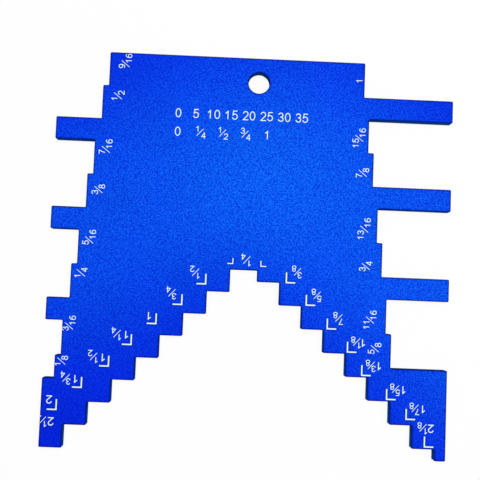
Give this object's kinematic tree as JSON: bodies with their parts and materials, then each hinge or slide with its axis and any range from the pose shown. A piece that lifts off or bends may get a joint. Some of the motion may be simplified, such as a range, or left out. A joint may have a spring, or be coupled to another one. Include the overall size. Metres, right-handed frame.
{
  "type": "table saw height gauge",
  "caption": "Flat stepped gauge plate for setting saw blade and router bit heights, with a stair arch between two feet, toothed sides and a hanging hole.",
  "frame": {"origin": "centre of the underside of the box around the plate as it lies on its back", "axes": "+X across the plate from the left tongue tips to the right ones, +Y from the feet towards the hanging hole, +Z out of the marked face"},
  "size_m": [0.1124, 0.1112, 0.003],
  "materials": {
    "blue_anodised": "deep blue anodising over a fine bead-blasted grain",
    "white_marking": "matt white marking filled into shallow engraved lines"
  },
  "bodies": {
    "root": {"gauge_plate": "blue_anodised", "corner_marks": "white_marking"}
  },
  "joints": []
}
